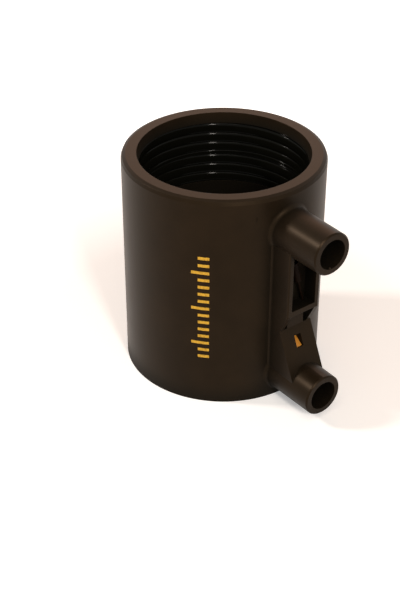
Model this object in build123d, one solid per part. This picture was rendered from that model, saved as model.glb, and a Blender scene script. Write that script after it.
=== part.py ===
from build123d import *
import math
import os

# Electrofusion coupler for 50 mm waste pipe. Sizes in millimetres, angles in degrees.
# Origin: on the pipe axis, at the lower end face. +Z runs up the pipe, +X towards the terminals.

# Barrel
pipe_od = 50.0
pipe_clearance = 0.25          # radial, between the pipe and the bore
wall = 5.35                    # bore to outside
length = 70.0
lead_in_depth = 3.3            # cone that guides the pipe in, down to the first turn
lead_in_width = 0.7            # how much wider the mouth is, radially
top_rim_round = 1.4            # cut as two chamfers that follow this radius

# Pipe stop, a moulded ring at mid length
stop_width = 3.0
stop_height = 1.6

# Heating coil: sheathed wire laid turn against turn, flush with the bore
coil_pitch = 3.2
coil_thickness = 1.2
outer_turns = 3
inner_turns = 3
lead_band = 1.2                # plain band between the two groups of turns
groove_width = 1.0             # valley between one turn's crown and the next
groove_depth = 0.45
bridge_width = 1.2             # the wire's run past the stop
bridge_cover = 0.4             # how deep under the bore it runs

# Terminal shrouds, two tubes moulded on the barrel
shroud_low_margin = 1.85       # lower end face to the lower shroud's side
shroud_high_margin = 5.4       # upper shroud's side to the upper end face
shroud_reach = 17.8            # barrel surface to the shroud's rim
shroud_root_d = 13.5
shroud_taper = 0.4             # diameter lost from root to rim
shroud_bore_d = 9.2
shroud_depth = 14.0
shroud_rim_chamfer = 0.4
root_fillet = 1.2              # where the shrouds and the housing meet the barrel

# Contact pins
pin_d = 4.0
pin_recess = 6.0               # shroud rim to the pin's tip
pin_tip_chamfer = 0.5
pin_collar_d = 5.9
pin_collar_thickness = 1.0
pin_shank_d = 3.0

# Housing between the shrouds
housing_width = 12.0
housing_wall = 1.6
housing_stand = 7.15           # barrel surface to the housing's front
housing_edge_round = 0.5
housing_tuck = 0.75            # the housing's ends stop this far short of the terminals' axes
throat_share = 0.3635          # of the way between the terminals: the throat, at the ramp's top edge
throat_stand = 3.95            # barrel surface to the throat
waist_height = 6.3             # throat to the bar
bar_height = 1.7               # the bar closes the chamber's window below
chamber_depth = 4.75
flare_bite = 0.15              # how deep the housing's root flare runs into the barrel
tongue_width = 6.2
ramp_angle = 24.5              # from the vertical

# Weld indicator in the ramp
indicator_from_throat = 2.95   # along the ramp, from its top edge
indicator_window_length = 4.0
indicator_window_width = 2.4
indicator_depth = 3.2
indicator_clearance = 0.04
indicator_low_end = 0.3        # below the ramp, at the window's lower end
indicator_high_end = 1.7       # below the ramp, at the window's upper end

# Thermal fuse in the chamber
fuse_d = 2.4
fuse_length = 7.0
fuse_tilt = 16.0
fuse_share = 0.66              # of the way up the chamber's window
fuse_side = -0.4
fuse_lead_d = 0.8
fuse_lead_seat = 1.2           # how deep the leads stand in the bar and in the upper shroud
fuse_lead_clearance = 0.05     # radial

# Sizes that follow
bore_r = pipe_od / 2 + pipe_clearance
mouth_r = bore_r + lead_in_width
outer_r = bore_r + wall
seat_r = bore_r + coil_thickness
mid_z = length / 2
coil_span = (outer_turns + inner_turns) * coil_pitch + lead_band
terminal_low_z = shroud_root_d / 2 + shroud_low_margin
terminal_high_z = length - shroud_high_margin - shroud_root_d / 2
shroud_tip_d = shroud_root_d - shroud_taper
shroud_rim_x = outer_r + shroud_reach
shroud_floor_x = shroud_rim_x - shroud_depth
pin_root_x = seat_r            # the shank ends on the winding's back
front_x = outer_r + housing_stand
chamber_back_x = front_x - chamber_depth
throat_x = outer_r + throat_stand
housing_low_z = terminal_low_z + housing_tuck
housing_high_z = terminal_high_z - housing_tuck
throat_z = terminal_low_z + throat_share * (terminal_high_z - terminal_low_z)
bar_low_z = throat_z + waist_height
window_low_z = bar_low_z + bar_height
window_high_z = terminal_high_z - shroud_root_d / 2
inner_half = housing_width / 2 - housing_wall
fuse_z = window_low_z + fuse_share * (window_high_z - window_low_z)
buried_x = (seat_r + outer_r) / 2
over = 1.0                     # how far cutting tools run past the face they cut


def ring(inner, outer, low, high):
    """A plain tube between two radii and two heights."""
    tube = Pos(0, 0, low) * Cylinder(outer, high - low, align=(Align.CENTER, Align.CENTER, Align.MIN))
    hole = Pos(0, 0, low - over) * Cylinder(
        inner, high - low + 2 * over, align=(Align.CENTER, Align.CENTER, Align.MIN)
    )
    return tube - hole


def mirrored(shape):
    """The same shape in the other half of the coupler."""
    return shape.mirror(Plane.XY.offset(mid_z))


def bore_tool():
    """What the pipe's way through takes out of the barrel: lead-ins, bores, coil seats and the stop."""
    stop_r = bore_r - stop_height
    stop_low = mid_z - stop_width / 2
    half = [
        (0, -over),
        (mouth_r + lead_in_width * over / lead_in_depth, -over),
        (bore_r, lead_in_depth),
        (seat_r, lead_in_depth),
        (seat_r, lead_in_depth + coil_span),
        (bore_r, lead_in_depth + coil_span),
        (bore_r, stop_low),
        (stop_r, stop_low),
    ]
    other = [(r, length - z) for r, z in reversed(half)]
    outline = Polyline(*[(r, 0, z) for r, z in half + other], close=True)
    return revolve(make_face(outline), Axis.Z)


def shroud(z):
    """One tapered terminal tube, solid, with a chamfered rim; its seam is buried in the housing."""
    inward = math.copysign(1, mid_z - z)
    outline = Polyline(
        (buried_x, 0, 0),
        (buried_x, 0, inward * shroud_root_d / 2),
        (outer_r, 0, inward * shroud_root_d / 2),
        (shroud_rim_x, 0, inward * shroud_tip_d / 2),
        (shroud_rim_x, 0, 0),
        close=True,
    )
    tube = Pos(0, 0, z) * revolve(make_face(outline), Axis.X)
    rim = tube.edges().filter_by(GeomType.CIRCLE).sort_by(Axis.X)[-1]
    return chamfer(rim, shroud_rim_chamfer)


def shroud_bore(z):
    """The blind hole of a terminal, with the seat of the pin's shank behind it, through to the winding."""
    bore = Cylinder(shroud_bore_d / 2, shroud_depth + over, align=(Align.CENTER, Align.CENTER, Align.MIN))
    seat = Cylinder(pin_shank_d / 2, shroud_floor_x - bore_r, align=(Align.CENTER, Align.CENTER, Align.MAX))
    return Pos(shroud_floor_x, 0, z) * Rot(0, 90, 0) * (bore + seat)


def ramp_place(along, depth):
    """A point of the ramp: how far down it from its top edge, and how far below its surface."""
    lean = math.radians(ramp_angle)
    x = throat_x + along * math.sin(lean) - depth * math.cos(lean)
    z = throat_z - along * math.cos(lean) - depth * math.sin(lean)
    return x, z


def housing():
    """The block between the shrouds: upright front, waist under the bar, and the ramp to the lower shroud."""
    ramp_length = (throat_z - housing_low_z) / math.cos(math.radians(ramp_angle))
    toe_x, toe_z = ramp_place(ramp_length, 0)
    outline = Polyline(
        (buried_x, 0, housing_high_z),
        (front_x, 0, housing_high_z),
        (front_x, 0, bar_low_z),
        (throat_x, 0, throat_z),
        (toe_x, 0, toe_z),
        (buried_x, 0, toe_z),
        close=True,
    )
    block = extrude(make_face(outline), housing_width / 2, both=True)
    front = block.edges().filter_by(Axis.Z).group_by(Axis.X)[-1]
    return fillet(front, housing_edge_round) + root_flare()


def root_flare():
    """The concave flare along both sides of the housing's root; its arcs end just inside the barrel."""
    half_width = housing_width / 2 + root_fillet
    wall_x = math.sqrt(outer_r**2 - half_width**2)
    arc_x = wall_x - flare_bite + root_fillet
    height = housing_high_z - housing_low_z
    foot = (Align.MIN, Align.CENTER, Align.MIN)
    flare = Pos(buried_x, 0, housing_low_z) * Box(arc_x - buried_x, 2 * half_width, height, align=foot)
    for side in (-1, 1):
        groove = Cylinder(root_fillet, height, align=(Align.CENTER, Align.CENTER, Align.MIN))
        flare -= Pos(arc_x, side * half_width, housing_low_z) * groove
    return flare


def chamber():
    """The fuse chamber: a deep window over the bar, and the waist below it on both sides of the tongue."""
    window = Pos(chamber_back_x, 0, window_low_z) * Box(
        chamber_depth + over,
        2 * inner_half,
        terminal_high_z - window_low_z,
        align=(Align.MIN, Align.CENTER, Align.MIN),
    )
    waist = Pos(chamber_back_x, 0, throat_z) * Box(
        chamber_depth + over,
        2 * inner_half,
        bar_low_z - throat_z,
        align=(Align.MIN, Align.CENTER, Align.MIN),
    )
    tongue = Pos(throat_x, 0, throat_z) * Box(
        2 * (throat_x - chamber_back_x),
        tongue_width,
        bar_low_z - throat_z,
        align=(Align.MAX, Align.CENTER, Align.MIN),
    )
    return (window - shroud(terminal_high_z)) + (waist - tongue)


def indicator_prism(width, window_end_gap, top):
    """A prism square to the ramp, under the indicator's window; top gives its depth at each end."""
    upper = indicator_from_throat + window_end_gap
    lower = indicator_from_throat + indicator_window_length - window_end_gap
    corners = [
        ramp_place(upper, top[0]),
        ramp_place(lower, top[1]),
        ramp_place(lower, indicator_depth),
        ramp_place(upper, indicator_depth),
    ]
    outline = Polyline(*[(x, 0, z) for x, z in corners], close=True)
    return extrude(make_face(outline), width / 2, both=True)


def coil_bridge():
    """The wire's run from one half's winding to the other, under the bore and behind the stop."""
    reach = mid_z - lead_in_depth - coil_span
    wire = Pos(-bore_r, 0, mid_z) * Box(
        2 * coil_thickness, bridge_width, 2 * reach, align=(Align.CENTER, Align.CENTER, Align.CENTER)
    )
    return wire & ring(bore_r + bridge_cover, seat_r, mid_z - reach, mid_z + reach)


def on_barrel_wall(edge):
    """True for an edge that lies on the barrel's outside, on the terminals' side and clear of the rims."""
    points = (edge @ 0, edge @ 0.5, edge @ 1)
    on_wall = all(abs(math.hypot(p.X, p.Y) - outer_r) < 0.001 for p in points)
    clear = all(0 < p.Z < length - top_rim_round for p in points)
    return on_wall and clear and points[1].X > 0


def barrel():
    """The sleeve's solid outside, its seam turned away from the terminals; two chamfers round the upper rim."""
    corner = top_rim_round * (1 - math.cos(math.radians(45)))
    outline = Polyline(
        (0, 0, 0),
        (-outer_r, 0, 0),
        (-outer_r, 0, length - top_rim_round),
        (corner - outer_r, 0, length - corner),
        (top_rim_round - outer_r, 0, length),
        (0, 0, length),
        close=True,
    )
    return revolve(make_face(outline), Axis.Z)


def sleeve_body():
    """The moulding: barrel, shrouds and housing, blended together and then hollowed out."""
    tubes = barrel() + shroud(terminal_low_z) + shroud(terminal_high_z)
    tubes = fillet([e for e in tubes.edges() if on_barrel_wall(e)], root_fillet)
    body = tubes + housing()
    body -= bore_tool()
    body -= chamber()
    body -= coil_bridge()
    body -= shroud_bore(terminal_low_z)
    body -= shroud_bore(terminal_high_z)
    body -= fuse_leads(fuse_lead_clearance)
    return body - indicator_prism(indicator_window_width, 0, (-over, -over))


def helical_groove(start_z, turns):
    """The valley between the crowns of neighbouring turns, cut outwards from the bore."""
    path = Helix(coil_pitch, turns * coil_pitch, bore_r, center=(0, 0, start_z))
    section = Polyline(
        (bore_r - groove_depth, 0, start_z - groove_width),
        (bore_r - groove_depth, 0, start_z + groove_width),
        (bore_r + groove_depth, 0, start_z),
        close=True,
    )
    return sweep(make_face(section), path, is_frenet=True)


def half_winding():
    """The upper half's turns: an outer group, a plain band and an inner group."""
    top_z = length - lead_in_depth
    low_z = top_z - coil_span
    turns = ring(bore_r, seat_r, low_z, top_z)
    turns -= helical_groove(top_z - outer_turns * coil_pitch + coil_pitch / 2, outer_turns - 1)
    return turns - helical_groove(low_z + coil_pitch / 2, inner_turns - 1)


def heating_coil():
    """One continuous sheathed wire: both windings and the bridge between them."""
    return half_winding() + mirrored(half_winding()) + coil_bridge()


def contact_pin(z):
    """A turned pin: chamfered tip, collar on the shroud's floor, and a shank through the wall to the winding."""
    r = pin_d / 2
    shank_r = pin_shank_d / 2
    tip_x = shroud_rim_x - pin_recess
    collar_x = shroud_floor_x + pin_collar_thickness
    half = [
        (pin_root_x, 0),
        (pin_root_x, shank_r),
        (shroud_floor_x, shank_r),
        (shroud_floor_x, pin_collar_d / 2),
        (collar_x, pin_collar_d / 2),
        (collar_x, r),
        (tip_x - pin_tip_chamfer, r),
        (tip_x, r - pin_tip_chamfer),
        (tip_x, 0),
    ]
    outline = Polyline(*[(x, 0, z + y) for x, y in half], close=True)
    return revolve(make_face(outline), Axis((0, 0, z), (1, 0, 0)))


def fuse_place():
    """Where the fuse lies: against the chamber's back wall, leaning to one side."""
    return Pos(chamber_back_x + fuse_d / 2, fuse_side, fuse_z) * Rot(fuse_tilt, 0, 0)


def fuse_leads(clearance):
    """The fuse's straight leads, from their seat in the bar to the one in the upper shroud."""
    foot = fuse_z - window_low_z + fuse_lead_seat
    head = window_high_z - fuse_z + fuse_lead_seat
    rise = math.cos(math.radians(fuse_tilt))
    r = fuse_lead_d / 2 + clearance
    lower = Cylinder(r, foot / rise + clearance, align=(Align.CENTER, Align.CENTER, Align.MAX))
    upper = Cylinder(r, head / rise + clearance, align=(Align.CENTER, Align.CENTER, Align.MIN))
    return fuse_place() * (lower + upper)


def thermal_fuse():
    """A small cylindrical fuse with axial leads."""
    return fuse_place() * Cylinder(fuse_d / 2, fuse_length) + fuse_leads(0)


def weld_indicator():
    """The coloured insert under the ramp's window, its face sloping down from the low end."""
    return indicator_prism(
        indicator_window_width - 2 * indicator_clearance,
        indicator_clearance,
        (indicator_high_end, indicator_low_end),
    )


os.makedirs("parts", exist_ok=True)
export_step(sleeve_body(), "parts/sleeve_body.step")
export_step(heating_coil(), "parts/heating_coil.step")
export_step(contact_pin(terminal_high_z), "parts/contact_pin_upper.step")
export_step(contact_pin(terminal_low_z), "parts/contact_pin_lower.step")
export_step(thermal_fuse(), "parts/thermal_fuse.step")
export_step(weld_indicator(), "parts/weld_indicator.step")
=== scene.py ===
import math

import bpy
import numpy as np
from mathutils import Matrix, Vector


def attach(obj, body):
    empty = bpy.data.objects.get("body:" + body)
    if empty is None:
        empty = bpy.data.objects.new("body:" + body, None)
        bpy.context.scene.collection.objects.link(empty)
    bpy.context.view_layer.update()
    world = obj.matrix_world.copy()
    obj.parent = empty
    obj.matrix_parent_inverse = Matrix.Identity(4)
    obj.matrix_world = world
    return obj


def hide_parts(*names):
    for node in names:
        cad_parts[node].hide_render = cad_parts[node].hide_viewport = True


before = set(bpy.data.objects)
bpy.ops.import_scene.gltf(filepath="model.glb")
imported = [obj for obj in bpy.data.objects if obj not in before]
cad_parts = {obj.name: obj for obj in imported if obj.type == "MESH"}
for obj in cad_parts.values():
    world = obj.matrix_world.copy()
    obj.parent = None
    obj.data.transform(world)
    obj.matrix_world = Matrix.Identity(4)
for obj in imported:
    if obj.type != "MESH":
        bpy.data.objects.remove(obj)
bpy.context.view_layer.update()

# ---------------------------------------------------------------------------
# Sleeve body: one moulding in black polyethylene, with the terminals' shrouds
# and the fuse housing on its side. The mould was spark-eroded, which leaves a
# fine satin grain, and the thick wall shrinks into faint broad waves.
# ---------------------------------------------------------------------------
MM = 0.001


def linear(hex_colour):
    """The linear RGBA of an sRGB colour written as six hex digits."""
    parts = [int(hex_colour[i:i + 2], 16) / 255 for i in (0, 2, 4)]
    return [c / 12.92 if c <= 0.04045 else ((c + 0.055) / 1.055) ** 2.4 for c in parts] + [1.0]


def add(tree, kind, settings, **links):
    """Adds one node. Settings are its properties and plain inputs, by name or number; links are the sockets
    that feed it, by input name with _ for a space, or as in0, in1 and so on by number."""
    node = tree.nodes.new(kind)
    for name, value in settings.items():
        if isinstance(name, int) or name in node.inputs:
            node.inputs[name].default_value = value
        else:
            setattr(node, name, value)
    for name, socket in links.items():
        entry = int(name[2:]) if name[:2] == "in" and name[2:].isdigit() else name.replace("_", " ")
        tree.links.new(socket, node.inputs[entry])
    return node


def new_material(name):
    """An empty node material with its shader, and the place that its patterns are read from."""
    material = bpy.data.materials.new(name)
    material.use_nodes = True
    tree = material.node_tree
    shader = tree.nodes["Principled BSDF"]
    place = tree.nodes.new("ShaderNodeTexCoord").outputs["Object"]
    return material, tree, shader, place


def two_tones(tree, pattern, low, high, start=0.0, stop=1.0):
    """A colour that turns from one sRGB hex colour to another as a pattern rises from start to stop."""
    tint = add(tree, "ShaderNodeValToRGB", {}, Fac=pattern)
    for step, position, colour in zip(tint.color_ramp.elements, (start, stop), (low, high)):
        step.position = position
        step.color = linear(colour)
    return tint.outputs["Color"]


def paint_node(name, material):
    """Gives a CAD node its finish."""
    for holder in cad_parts[name].material_slots:
        holder.material = material


def moulded_polyethylene():
    """Carbon-black polyethylene: brownish black with a soft sheen, grain of about 0.25 mm, broad sink waves
    of 9 mm and edges that look worn round by 0.2 mm. Painted shade: in the bore and, by ambient occlusion,
    in the recesses and concave corners the colour turns to a duller, purer black for the shade that falls there."""
    material, tree, shader, place = new_material("moulded_black_polyethylene")
    sink = add(tree, "ShaderNodeTexNoise", {"Scale": 1 / (9 * MM), "Detail": 2.0}, Vector=place).outputs["Fac"]
    grain = add(tree, "ShaderNodeTexNoise", {"Scale": 1 / (0.5 * MM), "Detail": 3.0}, Vector=place).outputs["Fac"]

    flat = add(tree, "ShaderNodeVectorMath", {"operation": "MULTIPLY", 1: (1, 1, 0)}, in0=place)
    radius = add(tree, "ShaderNodeVectorMath", {"operation": "LENGTH"}, in0=flat.outputs["Vector"])
    # Painted shade: the bore, and the recesses that ambient occlusion finds, take the darker colour 0a0906 below and
    # a higher roughness.
    bore_shade = add(
        tree, "ShaderNodeMapRange", {"From Min": 25.9 * MM, "From Max": 25.3 * MM}, Value=radius.outputs["Value"]
    )
    nearby = add(tree, "ShaderNodeAmbientOcclusion", {"samples": 8, "Distance": 9 * MM})
    recess_shade = add(tree, "ShaderNodeMapRange", {"From Min": 0.94, "From Max": 0.56}, Value=nearby.outputs["AO"])
    painted_shade = add(
        tree, "ShaderNodeMath", {"operation": "MAXIMUM"},
        in0=bore_shade.outputs["Result"], in1=recess_shade.outputs["Result"],
    ).outputs["Value"]
    # Painted shade: the body's tone is mixed to 0a0906 where the shade mask is 1.
    colour = add(
        tree, "ShaderNodeMix", {"data_type": "RGBA", 7: linear("0a0906")},
        Factor=painted_shade, in6=two_tones(tree, sink, "19120a", "1e160d", 0.35, 0.65),
    )
    satin = add(tree, "ShaderNodeMapRange", {"To Min": 0.34, "To Max": 0.42}, Value=sink)
    gloss = add(tree, "ShaderNodeMapRange", {"To Max": 0.6}, Value=painted_shade, To_Min=satin.outputs["Result"])

    edges = add(tree, "ShaderNodeBevel", {"samples": 4, "Radius": 0.2 * MM})
    waves = add(
        tree, "ShaderNodeBump", {"Strength": 0.05, "Distance": 0.3 * MM}, Height=sink, Normal=edges.outputs["Normal"]
    )
    skin = add(
        tree, "ShaderNodeBump", {"Strength": 0.1, "Distance": 0.05 * MM}, Height=grain, Normal=waves.outputs["Normal"]
    )
    tree.links.new(colour.outputs[2], shader.inputs["Base Color"])
    tree.links.new(gloss.outputs["Result"], shader.inputs["Roughness"])
    tree.links.new(skin.outputs["Normal"], shader.inputs["Normal"])
    shader.inputs["Specular IOR Level"].default_value = 0.12
    shader.inputs["Specular Tint"].default_value = linear("ffdcb6")
    return material


black = moulded_polyethylene()
paint_node("sleeve_body", black)

# ---------------------------------------------------------------------------
# Weld indicator: a small yellow acetal insert under the slot in the ramp. It
# is pushed out by the melt when a joint has been welded.
# ---------------------------------------------------------------------------


def yellow_acetal():
    """Dyed acetal: a strong warm yellow, slightly waxy, faintly mottled over 1.5 mm."""
    material, tree, shader, place = new_material("yellow_acetal")
    mottle = add(tree, "ShaderNodeTexNoise", {"Scale": 1 / (1.5 * MM), "Detail": 2.0}, Vector=place).outputs["Fac"]
    tree.links.new(two_tones(tree, mottle, "b87620", "cd8b30"), shader.inputs["Base Color"])
    shader.inputs["Roughness"].default_value = 0.45
    shader.inputs["IOR"].default_value = 1.48
    return material


def new_piece(name, points, faces, material, smooth=True):
    """A mesh object that has its place in its mesh, with its finish."""
    mesh = bpy.data.meshes.new(name)
    mesh.from_pydata(np.asarray(points).tolist(), [], [list(map(int, face)) for face in faces])
    mesh.polygons.foreach_set("use_smooth", np.full(len(mesh.polygons), smooth))
    mesh.materials.append(material)
    piece = bpy.data.objects.new(name, mesh)
    bpy.context.collection.objects.link(piece)
    return piece


RAMP_LEAN = math.radians(24.5)     # from the vertical
RAMP_TOP_X = 34.55 * MM
RAMP_TOP_Z = 26.502 * MM
INSERT_UPPER = 2.99 * MM           # the insert's ends, along the ramp from its top edge
INSERT_LOWER = 6.91 * MM
INSERT_UPPER_DEPTH = 3.0 * MM      # its top, below the ramp's face, at each end
INSERT_LOWER_DEPTH = 0.65 * MM
INSERT_FOOT_DEPTH = 3.2 * MM
INSERT_HALF_WIDTH = 1.16 * MM
INSERT_EDGE = 0.06 * MM


def ramp_point(along, depth):
    """(x, z) in the plane of symmetry: the ramp's top edge, moved along down the ramp's face and then depth
    square to it and inwards."""
    x = RAMP_TOP_X + along * math.sin(RAMP_LEAN) - depth * math.cos(RAMP_LEAN)
    z = RAMP_TOP_Z - along * math.cos(RAMP_LEAN) - depth * math.sin(RAMP_LEAN)
    return x, z


def wedge(profile, half_width):
    """A prism: a four-sided profile in the plane of symmetry, drawn out to half_width on both sides."""
    points = [(x, side * half_width, z) for side in (-1, 1) for x, z in profile]
    faces = [(3, 2, 1, 0), (4, 5, 6, 7), (0, 1, 5, 4), (1, 2, 6, 5), (2, 3, 7, 6), (3, 0, 4, 7)]
    return points, faces


profile = [
    ramp_point(INSERT_UPPER, INSERT_UPPER_DEPTH),
    ramp_point(INSERT_LOWER, INSERT_LOWER_DEPTH),
    ramp_point(INSERT_LOWER, INSERT_FOOT_DEPTH),
    ramp_point(INSERT_UPPER, INSERT_FOOT_DEPTH),
]
insert = new_piece("indicator_insert", *wedge(profile, INSERT_HALF_WIDTH), yellow_acetal(), smooth=False)
soften = insert.modifiers.new("soften", "BEVEL")
soften.width = INSERT_EDGE
soften.segments = 2
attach(insert, "root")
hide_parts("weld_indicator")

# ---------------------------------------------------------------------------
# Contact pins: turned brass, pressed through the wall. Fine rings are left by
# the lathe on the tip and the collar.
# ---------------------------------------------------------------------------


def turned_brass():
    """Brass from the lathe: rings along the pin's axis, 0.94 mm apart and so coarser than a lathe's, to show
    at this size, and a gloss that dulls in patches of 2 mm."""
    material, tree, shader, place = new_material("turned_brass")
    rings = add(
        tree, "ShaderNodeTexWave", {"wave_type": "BANDS", "bands_direction": "X", "Scale": 1 / (3 * MM)}, Vector=place
    )
    dull = add(tree, "ShaderNodeTexNoise", {"Scale": 1 / (2 * MM), "Detail": 2.0}, Vector=place)
    gloss = add(tree, "ShaderNodeMapRange", {"To Min": 0.22, "To Max": 0.4}, Value=dull.outputs["Fac"])
    bump = add(tree, "ShaderNodeBump", {"Strength": 0.15, "Distance": 0.02 * MM}, Height=rings.outputs["Fac"])
    tree.links.new(gloss.outputs["Result"], shader.inputs["Roughness"])
    tree.links.new(bump.outputs["Normal"], shader.inputs["Normal"])
    shader.inputs["Base Color"].default_value = linear("d8bd82")
    shader.inputs["Metallic"].default_value = 1.0
    return material


brass = turned_brass()
paint_node("contact_pin_upper", brass)
paint_node("contact_pin_lower", brass)

# ---------------------------------------------------------------------------
# Thermal fuse: a small lacquered case on two leads. It leans across the
# chamber, its leads set into the bar and the upper shroud.
# ---------------------------------------------------------------------------


def fuse_lacquer():
    """Red-brown lacquer, baked dull, a little darker where it pools over 1.2 mm."""
    material, tree, shader, place = new_material("fuse_lacquer")
    pool = add(tree, "ShaderNodeTexNoise", {"Scale": 1 / (1.2 * MM), "Detail": 2.0}, Vector=place).outputs["Fac"]
    tree.links.new(two_tones(tree, pool, "0d0804", "170c06"), shader.inputs["Base Color"])
    shader.inputs["Roughness"].default_value = 0.45
    shader.inputs["Specular IOR Level"].default_value = 0.03
    return material


paint_node("thermal_fuse", fuse_lacquer())

# ---------------------------------------------------------------------------
# Heating winding: resistance wire in a black sheath, laid turn against turn in
# the bore and melted in, so that each turn's crown lies flush with the bore.
# ---------------------------------------------------------------------------


def wire_sheath():
    """Black sheath that has been melted in: glossier than the moulding, with ripples of about 1.5 mm."""
    material, tree, shader, place = new_material("black_wire_sheath")
    ripple = add(tree, "ShaderNodeTexNoise", {"Scale": 1 / (1.5 * MM), "Detail": 2.0}, Vector=place)
    gloss = add(tree, "ShaderNodeMapRange", {"To Min": 0.08, "To Max": 0.14}, Value=ripple.outputs["Fac"])
    bump = add(tree, "ShaderNodeBump", {"Strength": 0.12, "Distance": 0.08 * MM}, Height=ripple.outputs["Fac"])
    tree.links.new(gloss.outputs["Result"], shader.inputs["Roughness"])
    tree.links.new(bump.outputs["Normal"], shader.inputs["Normal"])
    shader.inputs["Base Color"].default_value = linear("0c0c08")
    shader.inputs["Specular IOR Level"].default_value = 0.05
    return material


BORE_R = 25.25 * MM
SEAT_R = 26.45 * MM
LEAD_IN = 3.3 * MM
PITCH = 3.2 * MM
TURNS = 3
LEAD_BAND = 1.2 * MM
VALLEY = 0.45 * MM
CROWN_POWER = 3.2                  # how flat the crowns are, and so how narrow the creases between them
END_ROUND = 0.5 * MM
END_POWER = 1.5
LENGTH = 70 * MM


def crown(height, angle):
    """Inner radius of a group of turns: BORE_R + VALLEY * a^CROWN_POWER, where a is 0 on a turn's crown and 1
    in the crease half a PITCH from it. The crowns lie PITCH apart and climb by one PITCH a turn."""
    along = (height - PITCH * angle / (2 * math.pi)) / PITCH
    across = 2 * np.abs(along - np.round(along))
    return BORE_R + VALLEY * across**CROWN_POWER


def winding_half(depths, angles):
    """One half's skin, as rows of rings down the bore. Within a group the radius is the crown's or, over
    END_ROUND at the group's ends, BORE_R + VALLEY * (1 - distance / END_ROUND)^END_POWER where that is more.
    In the plain band between the groups it is BORE_R. The first and last rows lie on the back, at SEAT_R."""
    group = TURNS * PITCH
    depth, angle = np.meshgrid(depths, angles, indexing="ij")
    first = depth < group
    start = np.where(first, 0.0, group + LEAD_BAND)
    radius = crown(depth - start, -angle)
    rim = np.minimum.reduce([depth, np.abs(depth - group), np.abs(depth - group - LEAD_BAND), depths[-1] - depth])
    in_band = (depth > group) & (depth < group + LEAD_BAND)
    shoulder = BORE_R + VALLEY * np.clip(1 - rim / END_ROUND, 0, 1)**END_POWER
    radius = np.where(in_band, BORE_R, np.maximum(radius, shoulder))
    back = np.full((1, len(angles)), SEAT_R)
    radius = np.vstack([back, radius, back])
    depth = np.vstack([depth[:1], depth, depth[-1:]])
    angle = np.vstack([angle[:1], angle, angle[-1:]])
    return np.stack([radius * np.cos(angle), radius * np.sin(angle), LENGTH - LEAD_IN - depth], axis=-1)


def skin(grid, flip):
    """Vertices and quads of a tube whose rows are rings, each joined to the next and the last to the first.
    flip turns the faces over."""
    rows, columns = grid.shape[:2]
    row, column = np.meshgrid(np.arange(rows), np.arange(columns), indexing="ij")
    below, beside = (row + 1) % rows, (column + 1) % columns
    faces = np.stack([row * columns + column, below * columns + column,
                      below * columns + beside, row * columns + beside], axis=-1).reshape(-1, 4)
    return grid.reshape(-1, 3), faces[:, ::-1] if flip else faces


def joined(parts):
    """Several (vertices, quads) pairs as one."""
    bases = np.cumsum([0] + [len(points) for points, quads in parts[:-1]])
    faces = [quads + base for base, (points, quads) in zip(bases, parts)]
    return np.vstack([points for points, quads in parts]), np.vstack(faces)


depths = np.linspace(0, 2 * TURNS * PITCH + LEAD_BAND, 205)
angles = np.linspace(0, 2 * math.pi, 180, endpoint=False)
upper = winding_half(depths, angles)
lower = upper * [1, 1, -1] + [0, 0, LENGTH]
winding = new_piece("winding", *joined([skin(upper, True), skin(lower, False)]), wire_sheath())
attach(winding, "root")
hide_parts("heating_coil")

# ---------------------------------------------------------------------------
# Tick scale: pad-printed in yellow ink beside the housing, to read how far the
# pipe goes in. The ink stands on the barrel as an even film.
# ---------------------------------------------------------------------------


def yellow_ink():
    """Opaque yellow ink: satin, and browner in spots of about 0.4 mm, where the pad left less of it."""
    material, tree, shader, place = new_material("yellow_pad_ink")
    spots = add(tree, "ShaderNodeTexNoise", {"Scale": 1 / (0.8 * MM), "Detail": 3.0}, Vector=place).outputs["Fac"]
    tree.links.new(two_tones(tree, spots, "b5861f", "dbab33", 0.3, 0.55), shader.inputs["Base Color"])
    shader.inputs["Roughness"].default_value = 0.5
    shader.inputs["Specular IOR Level"].default_value = 0.3
    return material


OUTER_R = 30.6 * MM
INK = 0.03 * MM
SCALE_RIGHT = -45.8                # the right-hand ends of the ticks, in degrees round the barrel
LOWEST_TICK = 16.4 * MM
TICK_STEP = 2.45 * MM
TICK_HEIGHT = 0.95 * MM
TICK_WIDTH = 3.4 * MM
LONG_TICK_WIDTH = 5.4 * MM         # every fifth one, from the third


def film(right, width, low, height, columns=10):
    """A slab that follows the barrel: rows of four-cornered rings from the right-hand angle, in degrees,
    leftwards by width along the surface. Its front stands INK proud and its back is sunk by as much."""
    angle = math.radians(right) - np.linspace(0, width / OUTER_R, columns + 1)
    back, front, high = OUTER_R - INK, OUTER_R + INK, low + height
    r, z = np.array([(back, low), (front, low), (front, high), (back, high)]).T
    turn = angle[:, None]
    points = np.stack([r * np.cos(turn), r * np.sin(turn), np.broadcast_to(z, (columns + 1, 4))], axis=-1)
    index = np.arange((columns + 1) * 4).reshape(-1, 4)
    here, there = index[:-1], index[1:]
    sides = np.stack([here, np.roll(here, -1, 1), np.roll(there, -1, 1), there], axis=-1).reshape(-1, 4)
    return points.reshape(-1, 3), np.vstack([sides, index[:1, ::-1], index[-1:]])


ticks = [
    film(SCALE_RIGHT, LONG_TICK_WIDTH if count % 5 == 2 else TICK_WIDTH, LOWEST_TICK + TICK_STEP * count, TICK_HEIGHT)
    for count in range(15)
]
scale = new_piece("tick_scale", *joined(ticks), yellow_ink(), smooth=False)
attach(scale, "root")

# ---------------------------------------------------------------------------
# Flash: a nib of polyethylene left at the gate, inside the upper shroud's rim,
# and a nick's raised burr on the barrel near the upper end.
# ---------------------------------------------------------------------------


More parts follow.
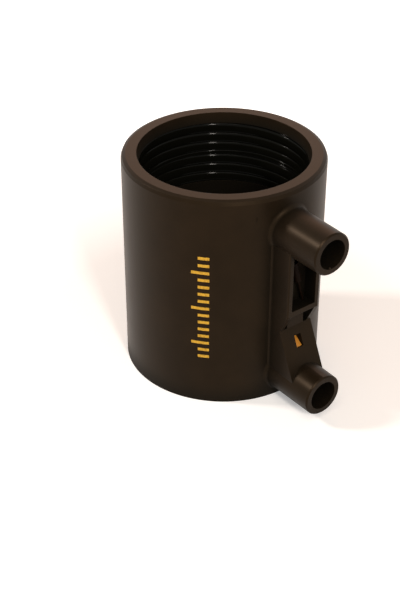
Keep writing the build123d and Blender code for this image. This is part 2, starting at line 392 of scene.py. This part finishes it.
def lump(centre, radii, rows=10, columns=16):
    """An ellipsoid: a grid of latitude by longitude on the unit ball, times the radii, plus the centre. Its
    poles are closed by triangles."""
    lat = np.linspace(-math.pi / 2, math.pi / 2, rows + 1)[1:-1]
    lon = np.linspace(0, 2 * math.pi, columns, endpoint=False)
    lat, lon = np.meshgrid(lat, lon, indexing="ij")
    ball = np.stack([np.cos(lat) * np.cos(lon), np.cos(lat) * np.sin(lon), np.sin(lat)], axis=-1)
    ends = [[0, 0, -1], [0, 0, 1]]
    points = np.vstack([ball.reshape(-1, 3), ends]) * radii + centre
    row, column = np.meshgrid(np.arange(rows - 2), np.arange(columns), indexing="ij")
    beside = (column + 1) % columns
    quads = np.stack([row * columns + column, row * columns + beside,
                      (row + 1) * columns + beside, (row + 1) * columns + column], axis=-1).reshape(-1, 4)
    around = np.arange(columns)
    after = (around + 1) % columns
    last = (rows - 2) * columns
    bottom = np.stack([after, around, np.full(columns, len(points) - 2)], axis=-1)
    top = np.stack([last + around, last + after, np.full(columns, len(points) - 1)], axis=-1)
    return points, quads.tolist() + bottom.tolist() + top.tolist()


NIB_ANGLE = math.radians(264)      # round the upper shroud's axis
NIB_R = 4.55 * MM
NIB_X = 48.0 * MM
TERMINAL_Z = 57.85 * MM
NIB_RADII = (0.35 * MM, 0.45 * MM, 0.5 * MM)
BURR_ANGLE = math.radians(-20.8)   # round the barrel
BURR_Z = 63.6 * MM
BURR_RADII = (0.14 * MM, 0.16 * MM, 1.0 * MM)

nib_place = (NIB_X, NIB_R * math.cos(NIB_ANGLE), TERMINAL_Z + NIB_R * math.sin(NIB_ANGLE))
burr_place = (OUTER_R * math.cos(BURR_ANGLE), OUTER_R * math.sin(BURR_ANGLE), BURR_Z)
for name, centre, radii in (("gate_nib", nib_place, NIB_RADII), ("burr", burr_place, BURR_RADII)):
    flash = new_piece(name, *lump(centre, radii), black)
    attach(flash, "root")

# ---------------------------------------------------------------------------
# Stage, lamps and camera: a plain white floor in a light room, a small bright
# lamp to the right and to the left, a broad one over the front, and a large
# warm one behind.
# ---------------------------------------------------------------------------


def seen(tree):
    """1 for the rays that show the background as it is: straight to the camera, mirrored, or refracted."""
    rays = tree.nodes.new("ShaderNodeLightPath").outputs
    most = {"operation": "MAXIMUM"}
    either = add(tree, "ShaderNodeMath", most, in0=rays["Is Camera Ray"], in1=rays["Is Glossy Ray"])
    any_of = add(tree, "ShaderNodeMath", most, in0=either.outputs["Value"], in1=rays["Is Transmission Ray"])
    return any_of.outputs["Value"]


FLOOR_HALF = 3.0                   # metres, as all of the floor's sizes
GLOW_START, GLOW_END = 0.25, 0.9   # from the middle: where the glow begins to rise, and where it is full
GLOW_LEAST = 0.35
SHADOW_FOOT, SHADOW_END = 0.065, 0.17  # from the middle: where the shadow is whole, and where it has faded
SHADOW_LIFT = 0.65                 # brings the least glow to full white

paper, tree, shader, place = new_material("white_paper")
shader.inputs["Base Color"].default_value = linear("f4f4f4")
shader.inputs["Roughness"].default_value = 0.9
shader.inputs["Specular IOR Level"].default_value = 0.0
away = add(tree, "ShaderNodeVectorMath", {"operation": "LENGTH"}, Vector=place)
glow = add(
    tree, "ShaderNodeMapRange",
    {"From Min": GLOW_START, "From Max": GLOW_END, "To Min": GLOW_LEAST, "To Max": 1.0}, Value=away.outputs["Value"],
)
lift = add(tree, "ShaderNodeMath", {"operation": "MULTIPLY"}, in0=glow.outputs["Result"], in1=seen(tree))
# Past the shadow the floor is lifted to white for the camera alone, so that what the black part mirrors
# stays as it is.
clear = add(
    tree, "ShaderNodeMapRange",
    {"From Min": SHADOW_FOOT, "From Max": SHADOW_END, "To Min": 0.0, "To Max": SHADOW_LIFT},
    Value=away.outputs["Value"],
)
camera_ray = tree.nodes.new("ShaderNodeLightPath").outputs["Is Camera Ray"]
extra = add(tree, "ShaderNodeMath", {"operation": "MULTIPLY"}, in0=clear.outputs["Result"], in1=camera_ray)
total = add(tree, "ShaderNodeMath", {"operation": "ADD"}, in0=lift.outputs["Value"], in1=extra.outputs["Value"])
tree.links.new(total.outputs["Value"], shader.inputs["Emission Strength"])
shader.inputs["Emission Color"].default_value = linear("ffffff")
corners = [(x * FLOOR_HALF, y * FLOOR_HALF, 0) for x, y in ((-1, -1), (1, -1), (1, 1), (-1, 1))]
floor = new_piece("floor", corners, [(0, 1, 2, 3)], paper, smooth=False)

world = bpy.data.worlds.new("room")
world.use_nodes = True
tree = world.node_tree
sky = tree.nodes["Background"]
sky.inputs["Color"].default_value = linear("fff1e2")
sky.inputs["Strength"].default_value = 0.16
plain_white = add(tree, "ShaderNodeBackground", {"Color": linear("ffffff"), "Strength": 1.0})
choice = add(
    tree, "ShaderNodeMixShader", {},
    Fac=seen(tree), in1=sky.outputs["Background"], in2=plain_white.outputs["Background"],
)
tree.links.new(choice.outputs["Shader"], tree.nodes["World Output"].inputs["Surface"])
scene = bpy.context.scene
scene.world = world
scene.view_settings.view_transform = "Standard"


def soft_lamp(name, place, aim, size, power, tint):
    """A rectangular area lamp at place, facing aim, both in millimetres; power is in watts."""
    lamp = bpy.data.objects.new(name, bpy.data.lights.new(name, "AREA"))
    lamp.data.shape = "RECTANGLE"
    lamp.data.size, lamp.data.size_y = (side * MM for side in size)
    lamp.data.energy = power
    lamp.data.color = linear(tint)[:3]
    lamp.location = Vector(place) * MM
    lamp.rotation_mode = "QUATERNION"
    lamp.rotation_quaternion = ((Vector(aim) - Vector(place)) * MM).to_track_quat("-Z", "Y")
    bpy.context.collection.objects.link(lamp)


middle = (0, 0, 35)
soft_lamp("lamp_right", (620, -230, 480), middle, (90, 120), 3.0, "fff6ee")
soft_lamp("lamp_left", (-430, -480, 480), middle, (90, 120), 3.0, "fff6ee")
soft_lamp("lamp_front", (250, -190, 560), middle, (360, 360), 0.9, "fff0e0")
soft_lamp("lamp_back", (-520, 410, 470), middle, (700, 520), 1.4, "ffac62")

CAMERA_PLACE = (263.8, -210.6, 244.7)  # millimetres
CAMERA_AIM = (-4.3, -5.7, 16.9)
CAMERA_LENS = 76.77

camera = bpy.data.objects.new("camera", bpy.data.cameras.new("camera"))
bpy.context.collection.objects.link(camera)
camera.location = Vector(CAMERA_PLACE) * MM
camera.rotation_mode = "QUATERNION"
camera.rotation_quaternion = (Vector(CAMERA_AIM) * MM - camera.location).to_track_quat("-Z", "Y")
camera.data.lens = CAMERA_LENS
camera.data.clip_start = 0.01
scene.camera = camera
